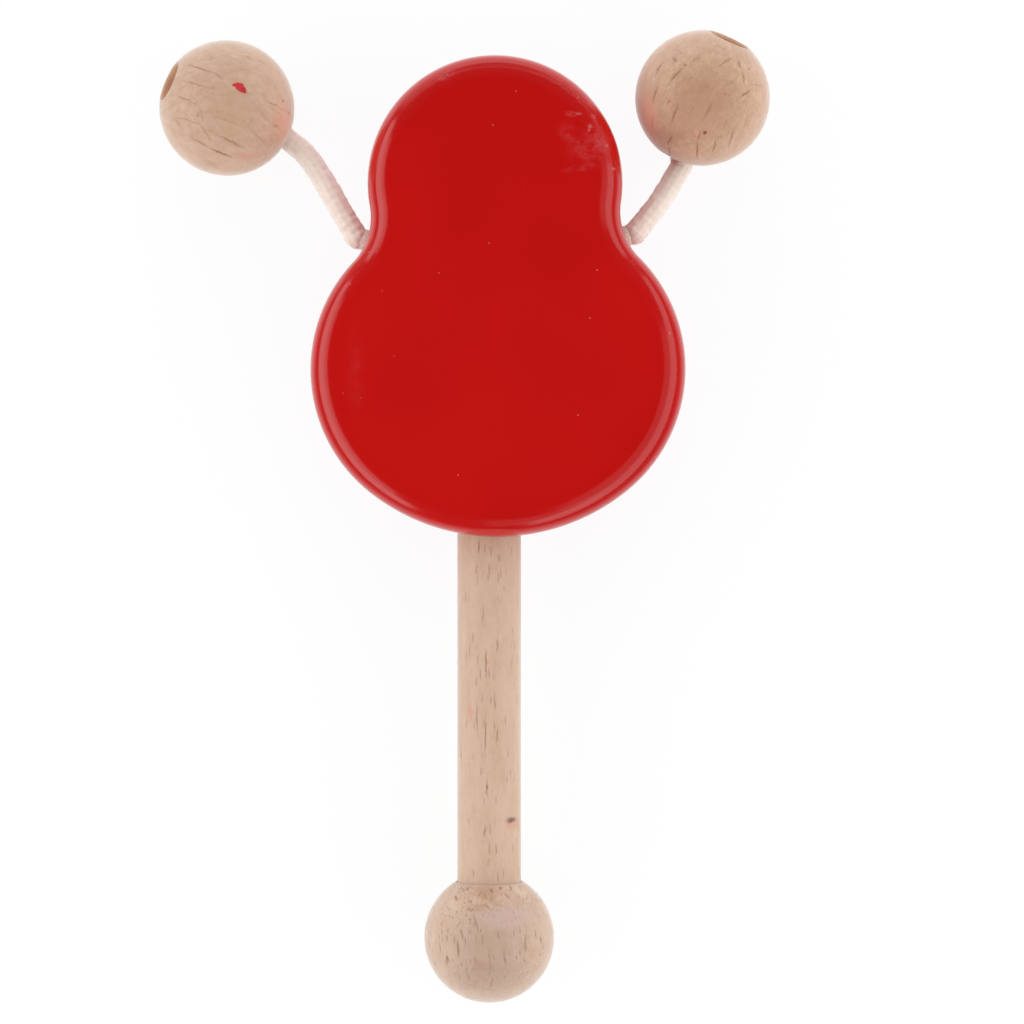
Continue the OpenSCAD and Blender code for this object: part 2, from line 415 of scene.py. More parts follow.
def cloudy(spot, scale, detail, roughness=0.5, result=0):
    """Soft random noise, with about so many cells to a unit of the coordinates."""
    return spot.node("TexNoise", {}, {"Vector": spot, "Scale": scale, "Detail": detail,
                                      "Roughness": roughness}, result)


def cotton_material():
    """Unbleached cotton braid: pale strands, painted shade between them, and faint pink stains with
    a painted red reflection of the drum on the side facing it.
    """
    material, shade = new_material("cotton_braid")
    place = shade.node("UVMap", {"uv_map": "around_along"})
    parts = shade.node("SeparateXYZ", {}, {0: place})
    around = parts * (2 * math.pi * BRAID_COUNT)
    along = parts.twin(1) * (2 * math.pi / BRAID_PITCH / 1000)
    first = shade.math("COSINE", around + along)
    second = shade.math("COSINE", around - along)
    strand = (first * second + 1) * 0.5
    spot = shade.node("TexCoord", {}, {}, "Object")
    cloud = cloudy(spot, STAIN_SCALE, 3.0)
    fibre = cloudy(spot, FIBRE_SCALE, 4.0, 0.7)
    inner = shade.math("COSINE", parts * (2 * math.pi))
    past_bend = parts.twin(1).between(0.5, 5.0)
    # Faint pink on the side that faces the drum: pink stains in patches, with a painted red
    # reflection of the drum.
    pink_stain_and_red_reflection = inner.between(-0.2, 1.0) * cloud.between(0.25, 0.6) * past_bend * 0.55
    colour = pink_stain_and_red_reflection.over(COTTON_WHITE, COTTON_PINK)
    # Painted shade in the grooves between the strands, with a random darker tone of the fibres.
    groove_shade_and_fibre_tone = (1 - strand.between(0.05, 0.5)) * 0.12 + (1 - fibre.between(0.3, 0.6)) * 0.16
    colour = groove_shade_and_fibre_tone.over(colour, COTTON_SHADE)
    height = strand * 0.6 + fibre * 0.5
    bump = shade.node("Bump", {}, {"Height": height, "Strength": 0.5, "Distance": 0.00012})
    finish_material(material, {
        "Base Color": colour, "Roughness": 0.95, "Normal": bump, "Specular IOR Level": 0.2,
        "Sheen Weight": 0.9, "Sheen Roughness": 0.4, "Sheen Tint": (1.0, 0.95, 0.93),
        "Subsurface Weight": 0.25, "Subsurface Radius": (1.0, 0.85, 0.8), "Subsurface Scale": 0.001,
    })
    return material


cotton = cotton_material()
cord_facts = {}
for side in ("left", "right"):
    run = run_of(side)
    centre = ball_centre(side)
    axis = bore_axis(side)
    mouth = centre - axis * BALL_RADIUS
    knot_face = centre + axis * (BALL_RADIUS - SINK_DEPTH + CORD_HOLD)
    inside = centre - axis * (BALL_RADIUS - STRAIGHT_FROM)
    corners = run + [run[-1] + Vector(step) for step in CORD_PAST_TIP[side]]
    corners += [inside, (inside + centre) / 2, centre, knot_face]
    path = smooth_path(corners, PATH_STEP)
    inward = Vector((1 if side == "left" else -1, 0, 0))
    cord = tube(side + "_cord_braid", path, CORD_RADIUS, CORD_SIDES, braid,
                start_side=inward, fuzz=FUZZ_PER_METRE)
    cord.data.materials.append(cotton)
    stub = smooth_path([run[0] - (run[1] - run[0]) * BEND_STUB, run[0]], PATH_STEP)
    bend = tube(side + "_cord_bend", stub, CORD_RADIUS, CORD_SIDES, braid,
                fuzz=FUZZ_PER_METRE * BEND_FUZZ)
    bend.data.materials.append(cotton)
    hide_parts(side + "_cord_root")
    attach(bend, side + "_cord_bend")
    heading = (mouth - run[-2]).normalized()
    side + "_cord_run"
    side + "_pellet"
    run[-1] - heading * BLEND_HALF
    run[-1] + heading * BLEND_HALF
    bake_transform(cord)
    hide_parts(side + "_cord", side + "_cord_tail")
    length = sum((b - a).length for a, b in zip(path[:-1], path[1:]))
    cord_path = [tuple(p) for p in path[::PATH_SHARE]] + [tuple(path[-1])]
    cord_facts[side] = (cord, bend, run[0], length, cord_path)

# Knots: a plain knot in each end of the cord, drawn tight on the shoulder inside its ball.
# Each is the same cotton, squeezed to little more than half its thickness.
KNOT_REACH = 0.0007
KNOT_RISE = 0.00085
KNOT_STRAND = 0.00118
KNOT_STEPS = 220
KNOT_SIDES = 28
KNOT_FROM_SHOULDER = 0.0027

for side in ("left", "right"):
    axis = bore_axis(side)
    middle = ball_centre(side) + axis * (BALL_RADIUS - SINK_DEPTH + KNOT_FROM_SHOULDER)
    turn = axis.to_track_quat("Z", "Y").to_matrix()
    loop = []
    for k in range(KNOT_STEPS):
        t = 2 * math.pi * k / KNOT_STEPS
        place = Vector((
            KNOT_REACH * (math.sin(t) + 2 * math.sin(2 * t)),
            KNOT_REACH * (math.cos(t) - 2 * math.cos(2 * t)),
            -KNOT_RISE * math.sin(3 * t),
        ))
        loop.append(middle + turn @ place)
    knot = tube(side + "_tied_knot", loop, KNOT_STRAND, KNOT_SIDES, braid, closed=True)
    knot.data.materials.append(cotton)
    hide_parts(side + "_knot")
    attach(knot, side + "_pellet")
    cord, bend, exit_point, length, cord_path = cord_facts[side]

# The stretch of the cord that the neck of the drum holds, from the bend on one side to the
# bend on the other. It lies lower than the bends, in its bore, and shows only at the two mouths.
NECK_DROP = 0.00085
NECK_STRAIGHT = {"left": 0.0030, "right": -0.0030}
NECK_SQUEEZE = 0.93

neck_path = [hinge_at("left")]
for side, inwards in NECK_STRAIGHT.items():
    neck_path.append(hinge_at(side) + Vector((inwards, -NECK_DROP, 0)))
neck_path = smooth_path([*neck_path, hinge_at("right")], PATH_STEP * 2)
neck_cord = tube("neck_cord", neck_path, CORD_RADIUS * NECK_SQUEEZE, CORD_SIDES, braid)
neck_cord.data.materials.append(cotton)
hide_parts("drum_cord")
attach(neck_cord, "drum_and_handle")

# Drum: one block of close-grained wood, sawn to a gourd outline, rounded along both faces,
# bored for the handle and the cord, and dipped in red lacquer that dried thick and glossy.
DRUM_WIDTH = 0.070
DRUM_THICK = 0.025
SIDE_X = 0.0057
FOOT_DROP = 0.002
TOP_RADIUS = 0.0238
LOBE_GAP = 0.03475
NECK_RADIUS = 0.012
EDGE_RADIUS = 0.005
DRUM_SHIFT = 0.0017
DRUM_LEAN = math.radians(0.9)
OUTLINE_STEP = 1.5
EDGE_SEGMENTS = 16
SHADING_RIM = 0.0008
SAME_PLACE = 1e-6
STRIP_CORNERS = 8
SHARP_ANGLE = math.radians(32)
SOCKET_SIDES = 96
BORE_SIDES = 64
WALL_LEVELS = (0.007, 0.0095, 0.0125, 0.0155, 0.018)
SOCKET_RADIUS = 0.00605
SOCKET_DEPTH = 0.020
CORD_BORE_RADIUS = 0.00235
CORD_RISE = 0.02475
TINT_SCALE = 28.0
RIPPLE_SCALE = 95.0
SMEAR_SCALE = 420.0
GRIT_SCALE = 1500.0
DUST_SCALE = 330.0
DUST_PATCH_SCALE = 70.0
SCUFF_COVER = 0.55
SPECK_COVER = 0.34
LACQUER_RED = (0.48, 0.0028, 0.0020)
LACQUER_DEEP = (0.445, 0.0022, 0.0015)
SCUFF_PALE = (0.60, 0.22, 0.22)
DUST_PALE = (0.66, 0.26, 0.22)


def outline_arc(middle, radius, start, stop):
    """Points on one arc of the drum's outline, without its last point. Angles are in degrees."""
    steps = math.ceil(abs(stop - start) / OUTLINE_STEP)
    points = []
    for i in range(steps):
        a = math.radians(start + (stop - start) * i / steps)
        points.append((middle[0] + radius * math.cos(a), middle[1] + radius * math.sin(a)))
    return points


def gourd_outline():
    """The drum's outline: two lobes of tangent arcs, joined by a hollow on each side."""
    side_radius = DRUM_WIDTH / 2 - SIDE_X
    foot_y = (SIDE_X ** 2 - FOOT_DROP ** 2) / (2 * FOOT_DROP)
    foot_radius = foot_y + side_radius + FOOT_DROP
    top_reach = TOP_RADIUS + NECK_RADIUS
    side_reach = side_radius + NECK_RADIUS
    span = math.hypot(SIDE_X, LOBE_GAP)
    opening = math.acos((top_reach ** 2 + span ** 2 - side_reach ** 2) / (2 * top_reach * span))
    neck = math.degrees(math.atan2(-LOBE_GAP, SIDE_X) + opening)
    neck_x = top_reach * math.cos(math.radians(neck))
    neck_y = LOBE_GAP + top_reach * math.sin(math.radians(neck))
    flank = math.degrees(math.atan2(neck_y, neck_x - SIDE_X))
    foot = math.degrees(math.atan2(-foot_y, SIDE_X))
    return (outline_arc((0, LOBE_GAP), TOP_RADIUS, neck, 180 - neck)
            + outline_arc((-neck_x, neck_y), NECK_RADIUS, -neck, -flank)
            + outline_arc((-SIDE_X, 0), side_radius, 180 - flank, 180 - foot)
            + outline_arc((0, foot_y), foot_radius, -180 - foot, foot)
            + outline_arc((SIDE_X, 0), side_radius, foot, flank)
            + outline_arc((neck_x, neck_y), NECK_RADIUS, 180 + flank, 180 + neck))


def select_parts(mesh, kind, test):
    """Selects in edit mode the faces or edges that pass the test, and nothing else."""
    bpy.ops.mesh.select_mode(type=kind)
    bpy.ops.mesh.select_all(action="DESELECT")
    form = bmesh.from_edit_mesh(mesh)
    for part in form.faces if kind == "FACE" else form.edges:
        part.select = test(part)
    form.select_flush_mode()
    bmesh.update_edit_mesh(mesh)


def pick(piece):
    """Makes the piece the only one that is selected, and the active one."""
    bpy.ops.object.select_all(action="DESELECT")
    bpy.context.view_layer.objects.active = piece
    piece.select_set(True)


def cut_away(piece, cutter):
    """Cuts one closed mesh out of another and removes the cutter."""
    pick(piece)
    cut = piece.modifiers.new("cut", "BOOLEAN")
    cut.operation = "DIFFERENCE"
    cut.solver = "EXACT"
    cut.object = cutter
    bpy.ops.object.modifier_apply(modifier=cut.name)
    bpy.data.objects.remove(cutter)


drum_place = Matrix.Translation((DRUM_SHIFT, 0, 0)) @ Matrix.Rotation(DRUM_LEAN, 4, "Z")
outline = gourd_outline()
bpy.ops.object.select_all(action="DESELECT")
bpy.ops.mesh.primitive_circle_add(vertices=len(outline), radius=DRUM_WIDTH / 2, fill_type="NGON")
drum = bpy.context.object
drum.name = "lacquered_drum"
for vertex, (x, y) in zip(drum.data.vertices, outline):
    vertex.co = (x, y, 0)
bpy.ops.object.mode_set(mode="EDIT")
bpy.ops.mesh.select_all(action="SELECT")
bpy.ops.mesh.extrude_region_move(TRANSFORM_OT_translate={"value": (0, 0, DRUM_THICK)})
bpy.ops.mesh.select_all(action="SELECT")
bpy.ops.mesh.normals_make_consistent(inside=False)
select_parts(drum.data, "EDGE", lambda e: abs(e.verts[0].co.z - e.verts[1].co.z) < SAME_PLACE)
bpy.ops.mesh.bevel(offset=EDGE_RADIUS, segments=EDGE_SEGMENTS, profile=0.5,
                   clamp_overlap=False)
select_parts(drum.data, "FACE", lambda f: len(f.verts) > STRIP_CORNERS)
bpy.ops.mesh.inset(thickness=SHADING_RIM, depth=0)
for level in WALL_LEVELS:
    bpy.ops.mesh.select_all(action="SELECT")
    bpy.ops.mesh.bisect(plane_co=(0, 0, level), plane_no=(0, 0, 1))
bpy.ops.object.mode_set(mode="OBJECT")
drum.location = (DRUM_SHIFT, 0, 0)
drum.rotation_euler = (0, 0, DRUM_LEAN)
bpy.ops.object.transform_apply(location=True, rotation=True, scale=True)

half_thick = DRUM_THICK / 2
drum_low = min(v.co.y for v in drum.data.vertices)
bpy.ops.mesh.primitive_cylinder_add(
    vertices=SOCKET_SIDES, radius=SOCKET_RADIUS, depth=SOCKET_DEPTH * 2,
    location=(0, drum_low, half_thick), rotation=(math.radians(90), 0, 0))
cut_away(drum, bpy.context.object)
bpy.ops.mesh.primitive_cylinder_add(
    vertices=BORE_SIDES, radius=CORD_BORE_RADIUS, depth=DRUM_WIDTH,
    location=drum_place @ Vector((0, CORD_RISE, half_thick)),
    rotation=(0, math.radians(90), DRUM_LEAN))
cut_away(drum, bpy.context.object)
pick(drum)
bpy.ops.object.shade_smooth_by_angle(angle=SHARP_ANGLE)

# Marks in the lacquer, where the photograph shows them. A scuff or dusty smear has its middle and
# half size in pixels, its turn in degrees and its strength, a speck its middle and strength.
SCUFFS = [
    ((571, 114), (9, 4.5), -8, 0.60), ((579, 113.5), (4.5, 2.0), -6, 1.0),
    ((590, 126), (3.4, 3.2), 0, 1.0), ((589, 130), (2.0, 2.4), 0, 0.8),
    ((594, 116), (4.0, 3.2), -50, 0.6), ((607, 145), (2.4, 2.0), 0, 0.8),
    ((614, 168), (3.4, 2.2), -20, 0.9), ((578, 97), (2.0, 1.6), 0, 0.5),
    ((583, 121), (6, 2.2), -38, 0.4), ((576, 141), (8, 3), -25, 0.35),
    ((590, 148), (32, 28), 0, 0.26), ((600, 140), (14, 30), 18, 0.26),
    ((446, 75), (12, 6), 24, 1.0), ((568, 132), (14, 14), 0, 0.22),
    ((356, 370), (14, 70), 0, 0.07), ((369, 251.5), (13, 1.4), 2, 1.2),
    ((582, 168), (26, 5), 8, 0.30),
]
# The scuffed part of the top lobe is dull, so that the highlight starts only below it.
DULLED = ((606, 138), (17, 33), 16)
SPECKS = [
    ((493, 125), 0.7), ((516, 91), 0.7), ((597, 270), 1.0), ((590, 318), 0.8), ((670, 333), 1.6),
    ((578, 415), 0.8), ((458, 475), 0.8), ((350, 284), 0.9), ((382, 291), 0.4), ((394, 356), 0.3),
    ((343, 393), 0.4), ((361, 398), 0.35), ((489, 243), 0.7), ((439, 273), 0.6),
]
SPECK_REACH = (1.2, 1.2)
LARGE_SCUFF = 5
ANY_DEPTH = 1000
FACE_BLEND = 0.001


def blot(spot, middle, reach, turn, ragged=0.0, hard=0.2):
    """A mask round a place on the upper side. It is 1 over the hard share of its reach, which is
    in pixels, and fades out at its full reach."""
    pixel = pixel_at(middle[2])
    local = spot.node("Mapping", {"vector_type": "TEXTURE"}, {
        "Vector": spot, "Location": (middle[0], middle[1], 0),
        "Rotation": (0, 0, math.radians(turn)),
        "Scale": (reach[0] * pixel, reach[1] * pixel, ANY_DEPTH)})
    far = spot.node("VectorMath", {"operation": "LENGTH"}, {0: local}, "Value")
    return 1 - (far + ragged).between(hard, 1.0)


def lacquer_material():
    """Thick glossy red lacquer: slightly wavy, with dust in it, scuffs, smears and a hairline."""
    material, shade = new_material("glossy_red_lacquer")
    spot = shade.node("TexCoord", {}, {}, "Object")
    height = shade.node("SeparateXYZ", {}, {0: spot}, 2)
    upper = height.between(half_thick, half_thick + FACE_BLEND)
    tint = cloudy(spot, TINT_SCALE, 2.0)
    colour = tint.between(0.35, 0.7).over(LACQUER_RED, LACQUER_DEEP)
    ripple = cloudy(spot, RIPPLE_SCALE, 1.0)
    smear = cloudy(spot, SMEAR_SCALE, 6.0, 0.75)
    grit = cloudy(spot, GRIT_SCALE, 4.0, 0.8)
    scuff = 0.0
    for middle, reach, turn, strength in SCUFFS:
        if max(reach) > LARGE_SCUFF:
            ragged = (smear - 0.5) * 1.2
            coarse = smear.between(0.38, 0.68)
        else:
            ragged = (grit - 0.5) * 1.8
            coarse = grit.between(0.36, 0.55)
        place = seen_at(*middle, DRUM_THICK)
        scuff = scuff + blot(spot, place, reach, turn, ragged) * coarse * strength
    middle, reach, turn = DULLED
    place = seen_at(*middle, DRUM_THICK)
    dull = blot(spot, place, reach, turn, (smear - 0.5) * 0.4, 0.55) * upper * 0.8
    speck = 0.0
    for middle, strength in SPECKS:
        place = seen_at(*middle, DRUM_THICK)
        speck = speck + blot(spot, place, SPECK_REACH, 0, 0.0, 0.5) * strength
    dust = shade.node("TexVoronoi", {}, {"Vector": spot, "Scale": DUST_SCALE})
    rare = cloudy(spot, DUST_PATCH_SCALE, 0.0)
    speck = speck + (1 - dust.between(0.02, 0.06)) * rare.between(0.62, 0.66) * 0.4
    scuff = shade.math("MINIMUM", scuff * upper, 1.0)
    speck = shade.math("MINIMUM", speck * upper, 1.0)
    colour = (scuff * SCUFF_COVER).over(colour, SCUFF_PALE)
    colour = (speck * SPECK_COVER).over(colour, DUST_PALE)
    bump_height = ripple + speck * 0.15 + scuff * smear * 0.1
    bump = shade.node("Bump", {}, {"Height": bump_height, "Strength": 0.6, "Distance": 0.0003})
    finish_material(material, {
        "Base Color": colour, "Roughness": 0.3 + scuff * 0.3, "Normal": bump,
        "Specular IOR Level": 0.05, "Coat Weight": (1 - scuff * 0.5) * (1 - dull),
        "Coat Roughness": 0.15, "Coat IOR": 1.5,
    })
    return material


drum.data.materials.clear()
drum.data.materials.append(lacquer_material())
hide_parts("drum_body")
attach(drum, "drum_and_handle")

# Handle: a machined beech dowel, sanded but bare, glued into the drum and into its end ball.
# Beech shows short dark ray flecks along its grain.
DOWEL_RADIUS = 0.006
DOWEL_LENGTH = 0.100
DOWEL_CHAMFER = 0.0008
CHAMFER_SEGMENTS = 4
HANDLE_MIDDLE = -0.064
HANDLE_SEED = 3.7
DRUM_FOOT = -0.0313
DOWEL_TOP = DRUM_FOOT + SOCKET_DEPTH
DOWEL_SIDES = 128
DOWEL_STEPS = 50
BEECH_HANDLE = (0.590, 0.408, 0.298)
BEECH_TAN = (0.50, 0.31, 0.20)
MOTTLE_TAN = (0.42, 0.235, 0.135)
BORE_TAN = (0.66, 0.36, 0.19)
BEECH_DARK = (0.27, 0.135, 0.08)
BEECH_PALE = (0.74, 0.58, 0.46)
KNOT_BROWN = (0.12, 0.045, 0.028)
STAIN_PINK = (0.62, 0.27, 0.20)
STROKE_BROWN = (0.27, 0.105, 0.048)
# A look is the length and width of a fleck's cell in mm, the share of cells with a fleck, how dark
# it is, how strong the clouds, the mottling and the year rings are, how far out along the grain
# the end grain starts, and the radius of a bore, which is torn and tan inside.
HANDLE_LOOK = {"cell": (4.6, 0.80), "flecks": 0.55, "dark": 0.36, "clouds": 0.35, "mottle": 0.10,
               "rings": 0.12, "end": 200.0, "bore": -1.0}
# Stains: middle and half size in the photograph's pixels, turn, the share of it that has no fade,
# colour and strength.
HANDLE_STAINS = [
    ((470, 713), (5, 15), 8, 0.0, STAIN_PINK, 0.60),
    ((511, 826), (12, 7), 0, 0.0, STAIN_PINK, 0.55),
    ((511, 821), (7.2, 4.2), 4, 0.2, KNOT_BROWN, 0.80),
]
# Strokes: the ends of a dark line in the photograph's pixels, its half width and its strength.
HANDLE_STROKES = [
    ((479, 539), (479, 556), 0.7, 0.6), ((486, 646), (486, 682), 0.7, 0.6),
    ((489, 562), (490, 577), 0.6, 0.45), ((476, 562), (476, 578), 0.6, 0.35),
    ((499, 553), (499, 563), 1.2, 0.25), ((504, 583), (504, 592), 1.0, 0.25),
    ((473, 632), (472, 645), 0.6, 0.35), ((478, 652), (478, 668), 0.5, 0.35),
    ((497, 638), (497, 654), 0.9, 0.35), ((470, 640), (470, 662), 0.4, 0.35),
    ((494, 688), (495, 712), 0.6, 0.40), ((477, 700), (477, 738), 0.6, 0.45),
    ((486, 712), (485, 759), 0.6, 0.50), ((497, 725), (497, 747), 0.6, 0.50),
    ((487, 778), (487, 798), 0.8, 0.60), ((481, 766), (481, 778), 0.6, 0.35),
    ((485, 824), (484, 838), 0.8, 0.45), ((496, 843), (496, 857), 0.6, 0.45),
    ((488, 857), (488, 868), 0.7, 0.35), ((461, 735), (461, 772), 0.5, 0.30),
    ((473, 868), (473, 880), 0.6, 0.35), ((483, 600), (483, 626), 0.5, 0.30),
]
# Sizes of the grain's patterns along and across it, in mm.
CLOUD_SIZE = (8.0, 2.6)
MOTTLE_SIZE = (2.2, 1.3)
DRIFT_SIZE = (9.0, 5.0)
RING_GAP_SIZE = (3.5, 1.2)
FRAY_SIZE = (0.9, 0.2)
PORE_SIZE = (0.9, 0.12)
SPECKLE_SIZE = (0.28, 0.28)
RAGGED_SIZE = (0.7, 0.4)
SEED_ACROSS = 3.1
SEED_DEEP = 1.7
RING_PITCH = 2.3
PITH_AWAY = (19, 7)
END_FADE = 3.0
WANDER_SCALE = 650.0
WANDER = 0.0008
STROKE_STRETCH = (1.2, 1.9)


def beech_material(name, middle, axis, body, seed, look, place_at, stains_and_painted_light=(), strokes=()):
    """Bare beech. Its grain runs along the axis through the middle of the piece."""
    material, shade = new_material(name)
    spot = shade.node("TexCoord", {}, {}, "Object")
    turn = axis.to_track_quat("X", "Z").to_euler()
    grain = shade.node("Mapping", {"vector_type": "TEXTURE"},
                       {"Vector": spot, "Location": middle, "Rotation": turn,
                        "Scale": (0.001, 0.001, 0.001)})
    along = shade.node("SeparateXYZ", {}, {0: grain})
    across = along.twin(1)
    deep = along.twin(2)

    def stretched(size, shift):
        """Coordinates along the grain, in which a pattern's cell is one unit long and wide."""
        return shade.node("CombineXYZ", {}, {0: along / size[0] + (seed + shift),
                                             1: across / size[1] + seed * SEED_ACROSS,
                                             2: deep / size[1] + seed * SEED_DEEP})

    def noise_of(size, shift, detail=2.0, roughness=0.5):
        """Cloudy noise stretched along the grain. The shift keeps the patterns apart."""
        return cloudy(stretched(size, shift), 1.0, detail, roughness)

    cloud = noise_of(CLOUD_SIZE, 5.0, 3.0, 0.6)
    colour = (cloud.between(0.42, 0.72) * look["clouds"]).over(body, BEECH_TAN)
    colour = ((1 - cloud.between(0.2, 0.5)) * look["clouds"] * 0.4).over(colour, BEECH_PALE)
    mottle = noise_of(MOTTLE_SIZE, 41.0, 5.0, 0.72)
    colour = (mottle.between(0.48, 0.62) * look["mottle"]).over(colour, MOTTLE_TAN)
    colour = ((1 - mottle.between(0.38, 0.48)) * look["mottle"] * 0.6).over(colour, BEECH_PALE)
    aside = across + PITH_AWAY[0] + noise_of(DRIFT_SIZE, 0.0) * 3
    below = deep + PITH_AWAY[1]
    from_pith = shade.math("SQRT", aside * aside + below * below)
    ring = shade.math("FRACT", from_pith / RING_PITCH)
    ring_line = ring.between(0.80, 0.97) * (1 - ring.between(0.97, 1.0))
    ring_line = ring_line * noise_of(RING_GAP_SIZE, 11.0, 3.0).between(0.45, 0.6)
    cells = shade.node("TexVoronoi", {}, {"Vector": stretched(look["cell"], 2.0), "Scale": 1.0})
    chosen = shade.node("SeparateColor", {}, {0: cells.twin("Color")})
    fray = noise_of(FRAY_SIZE, 13.0, 3.0, 0.7)
    dash = (1 - (cells + (fray - 0.5) * 0.35).between(0.12, 0.30)) * (
        1 - chosen.between(look["flecks"], look["flecks"] + 0.05))
    pore = noise_of(PORE_SIZE, 17.0)
    speckle = noise_of(SPECKLE_SIZE, 23.0, 3.0, 0.7)
    end = shade.math("ABSOLUTE", along).between(look["end"], look["end"] + END_FADE)
    dark = (ring_line * look["rings"] + dash * look["dark"] + pore.between(0.54, 0.74) * 0.16
            + end * speckle.between(0.48, 0.66) * 0.25)
    dark = shade.math("MINIMUM", dark, 1.0)
    colour = dark.over(colour, BEECH_DARK)

    ragged = noise_of(RAGGED_SIZE, 31.0, 4.0, 0.7)
    height = shade.node("SeparateXYZ", {}, {0: spot}, 2)
    upper = height.between(middle[2], middle[2] + FACE_BLEND)
    bend = cloudy(spot, WANDER_SCALE, 3.0, result=1)
    bend = shade.node("VectorMath", {"operation": "SUBTRACT"}, {0: bend, 1: (0.5, 0.5, 0.5)})
    bend = shade.node("VectorMath", {"operation": "SCALE"}, {0: bend, "Scale": WANDER})
    bent = shade.node("VectorMath", {"operation": "ADD"}, {0: spot, 1: bend})
    drawn = 0.0
    for start, stop, half_width, strength in strokes:
        first = place_at(*start)
        half = (place_at(*stop) - first) / 2
        place = Vector((first.x + half.x, first.y + half.y, first.z))
        reach = (half.xy.length / pixel_at(first.z) * STROKE_STRETCH[0],
                 half_width * STROKE_STRETCH[1])
        heading = math.degrees(math.atan2(half.y, half.x))
        line = blot(bent, place, reach, heading, ragged - 0.5, 0.1)
        drawn = shade.math("MAXIMUM", drawn, line * min(1.0, strength * 1.3))
    colour = (drawn * upper).over(colour, STROKE_BROWN)
    # Stains, and on the balls also painted shade and a painted red reflection of the drum.
    for seen, reach, turned, hard, mark_colour, strength in stains_and_painted_light:
        mask = blot(spot, place_at(*seen), reach, turned, (ragged - 0.5) * 0.9, hard)
        colour = (mask * upper * strength).over(colour, mark_colour)
    out = shade.math("SQRT", across * across + deep * deep)
    bored = 1 - out.between(look["bore"] + 0.02, look["bore"] + 0.10)
    colour = (bored * ragged.between(0.35, 0.6)).over(colour, BORE_TAN)
    relief = 1 - dark + pore * 0.2 + speckle * end * 0.6 - drawn * 0.6 + bored * ragged
    bump = shade.node("Bump", {}, {"Height": relief, "Strength": 0.35, "Distance": 0.0002})
    finish_material(material, {
        "Base Color": colour, "Roughness": 0.55 + dark * 0.2, "Normal": bump,
        "Specular IOR Level": 0.35, "Sheen Weight": 1.0, "Sheen Roughness": 0.35,
        "Sheen Tint": (1.0, 0.98, 0.96),
    })
    return material


def on_handle(x, y):
    """The place on top of the handle at a pixel of the photograph."""
    return seen_at(x, y, half_thick + DOWEL_RADIUS)


bpy.ops.object.select_all(action="DESELECT")
bpy.ops.mesh.primitive_cylinder_add(
    vertices=DOWEL_SIDES, radius=DOWEL_RADIUS, depth=DOWEL_LENGTH,
    location=(0, DOWEL_TOP - DOWEL_LENGTH / 2, half_thick), rotation=(math.radians(90), 0, 0))
dowel = bpy.context.object
dowel.name = "beech_handle"
bpy.ops.object.transform_apply(location=True, rotation=True, scale=True)
bpy.ops.object.mode_set(mode="EDIT")
select_parts(dowel.data, "EDGE", lambda e: abs(e.verts[0].co.y - e.verts[1].co.y) < SAME_PLACE)
bpy.ops.mesh.bevel(offset=DOWEL_CHAMFER, segments=CHAMFER_SEGMENTS, profile=0.5)
for step in range(1, DOWEL_STEPS):
    bpy.ops.mesh.select_all(action="SELECT")
    bpy.ops.mesh.bisect(plane_co=(0, DOWEL_TOP - DOWEL_LENGTH * step / DOWEL_STEPS, 0),
                        plane_no=(0, 1, 0))
bpy.ops.object.mode_set(mode="OBJECT")
bpy.ops.object.shade_smooth_by_angle(angle=SHARP_ANGLE)
dowel.data.materials.append(beech_material(
    "bare_beech_rod", (0, HANDLE_MIDDLE, half_thick), Vector((0, -1, 0)), BEECH_HANDLE,
    HANDLE_SEED, HANDLE_LOOK, on_handle, HANDLE_STAINS, HANDLE_STROKES))
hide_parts("handle_dowel")
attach(dowel, "drum_and_handle")

# End ball of the handle: turned beech, bored blind and glued on the dowel. Its bore tore a few
# fibres out round the dowel, where the end grain lies open.
END_RADIUS = 0.01225
END_HOLD = 0.015
GLUE_GAP = 0.00005
SOCKET_EDGE = 0.0004
MOUTH_EDGE = 0.0003
SOCKET_RINGS = 14
SOCKET_STEP = 0.001
SEARCH_STEPS = 4
BALL_OUTLINE = 0.98
END_GRAIN = (0.12, -1, 0)
END_SEED = 8.3
BALL_STEPS = 96
BALL_TURNS = 128
BEECH_END_BALL = (0.575, 0.405, 0.305)
# Painted shade for the end ball's middle and its lower side.
PAINTED_SHADE_END = (0.40, 0.265, 0.20)
TORN_TAN = (0.40, 0.20, 0.10)
END_GREY = (0.56, 0.40, 0.36)
TORN_PALE = (0.72, 0.56, 0.42)
END_BALL_LOOK = {"cell": (6.6, 0.52), "flecks": 0.90, "dark": 0.80, "clouds": 0.30, "mottle": 0.16,
                 "rings": 0.20, "end": 8.5, "bore": -1.0}
END_BALL_STAINS_AND_SHADE = [
    # Painted shade over the middle of the end ball's upper side.
    ((489, 952), (62, 56), 0, 0.2, PAINTED_SHADE_END, 0.55),
    ((507, 917), (40, 15), 0, 0.3, END_GREY, 0.55),
    # Painted shade on the lower side of the end ball, which gets less light.
    ((489, 978), (52, 24), 0, 0.3, PAINTED_SHADE_END, 0.50),
    ((487, 892), (20, 11), 0, 0.3, TORN_TAN, 0.42),
    ((478, 908), (16, 6), 12, 0.2, TORN_TAN, 0.34),
    ((497, 904), (10, 4), -20, 0.2, TORN_TAN, 0.34),
    ((520, 891), (13, 5), -30, 0.2, TORN_PALE, 0.55),
    ((454, 905), (14, 10), 30, 0.2, TORN_PALE, 0.30),
    ((480, 966), (12, 8), 0, 0.2, TORN_TAN, 0.26),
]
